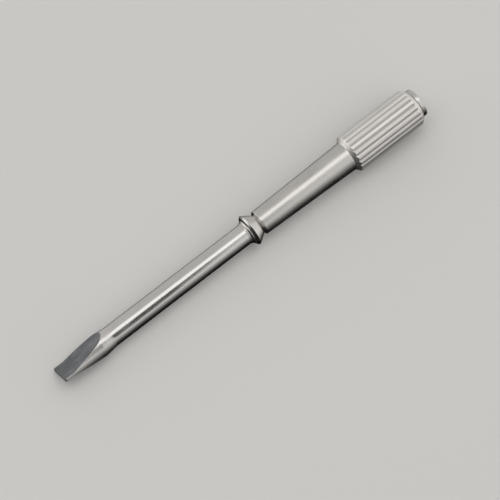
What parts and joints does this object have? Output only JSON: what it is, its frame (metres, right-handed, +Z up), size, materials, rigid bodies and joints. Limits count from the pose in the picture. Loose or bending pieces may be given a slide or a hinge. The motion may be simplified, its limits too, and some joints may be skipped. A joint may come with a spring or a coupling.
{
  "type": "watchmaker screwdriver",
  "caption": "All-metal watchmaker's screwdriver: ground flat blade, flared collar, tapered body, fluted grip and swivelling end button.",
  "frame": {"origin": "middle of the blade's tip, on the tool's axis", "axes": "+X along the tool from the tip to the end button, +Z up as the tool lies on a bench, +Y across it; the blade's width is turned 38.5 degrees about X from level"},
  "size_m": [0.0516, 0.0046, 0.0046],
  "materials": {
    "satin_steel": "satin, finely turned",
    "blade_steel": "satin rod with ground faces",
    "hard_steel": "bright turned",
    "ball_steel": "polished",
    "bronze": "turned",
    "washer_plastic": "matte"
  },
  "bodies": {
    "driver": {"blade": "blade_steel", "nose_ring": "satin_steel", "collar": "satin_steel", "handle_body": "satin_steel", "grip_sleeve": "satin_steel", "swivel_bush": "bronze"},
    "swivel": {"swivel_button": "satin_steel", "button_stem": "hard_steel", "thrust_washer": "washer_plastic", "retaining_ring": "hard_steel", "thrust_ball": "ball_steel"}
  },
  "joints": [
    {"name": "button_swivel", "type": "hinge", "parent": "driver", "child": "swivel", "pos_m": [0.0511, 0, 0], "axis": [1, 0, 0], "continuous": true}
  ]
}
